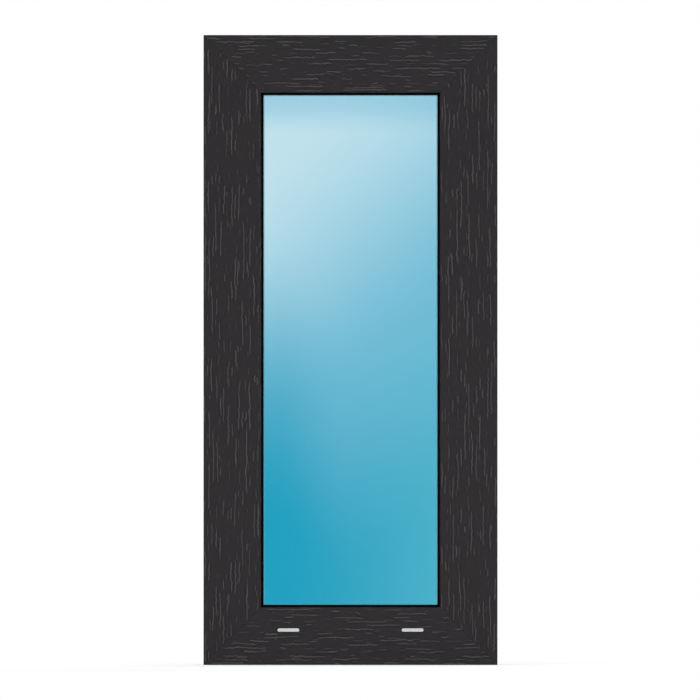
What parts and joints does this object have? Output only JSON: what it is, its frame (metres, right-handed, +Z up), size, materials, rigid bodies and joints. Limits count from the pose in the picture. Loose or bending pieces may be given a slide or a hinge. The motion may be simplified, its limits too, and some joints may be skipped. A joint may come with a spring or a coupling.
{
  "type": "fixed window",
  "caption": "Tall fixed window with a mitred dark wood-grain frame of hollow plastic profile, sealed double glazing, inside glazing beads and slim drain covers.",
  "frame": {"origin": "bottom centre: middle of the width and of the frame's depth, on the underside of the sill member", "axes": "+X to the right seen from outside, +Y from the outside face to the inside face, +Z up"},
  "size_m": [0.35, 0.0709, 0.75],
  "materials": {
    "frame_film": "near-black laminated film with lighter wood-grain strokes along each member",
    "gasket_rubber": "matt black extruded rubber",
    "outer_glass": "clear polished, sky-blue coated",
    "inner_glass": "clear polished",
    "spacer_aluminium": "mill finish, perforated on the cavity side",
    "galvanised_steel": "zinc-coated roll-formed strip",
    "key_plastic": "moulded",
    "block_plastic": "moulded",
    "edge_sealant": "cured two-part sealant",
    "cover_plastic": "pale grey moulded"
  },
  "bodies": {
    "root": {"frame_sill": "frame_film", "frame_head": "frame_film", "frame_left_jamb": "frame_film", "frame_right_jamb": "frame_film", "bead_sill": "frame_film", "bead_head": "frame_film", "bead_left_jamb": "frame_film", "bead_right_jamb": "frame_film", "outer_gasket_sill": "gasket_rubber", "outer_gasket_head": "gasket_rubber", "outer_gasket_left_jamb": "gasket_rubber", "outer_gasket_right_jamb": "gasket_rubber", "bead_gasket_sill": "gasket_rubber", "bead_gasket_head": "gasket_rubber", "bead_gasket_left_jamb": "gasket_rubber", "bead_gasket_right_jamb": "gasket_rubber", "reinforcement_sill": "galvanised_steel", "reinforcement_head": "galvanised_steel", "reinforcement_left_jamb": "galvanised_steel", "reinforcement_right_jamb": "galvanised_steel", "spacer_sill": "spacer_aluminium", "spacer_head": "spacer_aluminium", "spacer_left_jamb": "spacer_aluminium", "spacer_right_jamb": "spacer_aluminium", "spacer_key_lower_left": "key_plastic", "spacer_key_lower_right": "key_plastic", "spacer_key_upper_left": "key_plastic", "spacer_key_upper_right": "key_plastic", "setting_block_left": "block_plastic", "setting_block_right": "block_plastic", "location_block_head_left": "block_plastic", "location_block_head_right": "block_plastic", "location_block_left_jamb_low": "block_plastic", "location_block_left_jamb_high": "block_plastic", "location_block_right_jamb_low": "block_plastic", "location_block_right_jamb_high": "block_plastic", "edge_seal": "edge_sealant", "outer_pane": "outer_glass", "inner_pane": "inner_glass", "drain_cover_left": "cover_plastic", "drain_cover_right": "cover_plastic"}
  },
  "joints": []
}
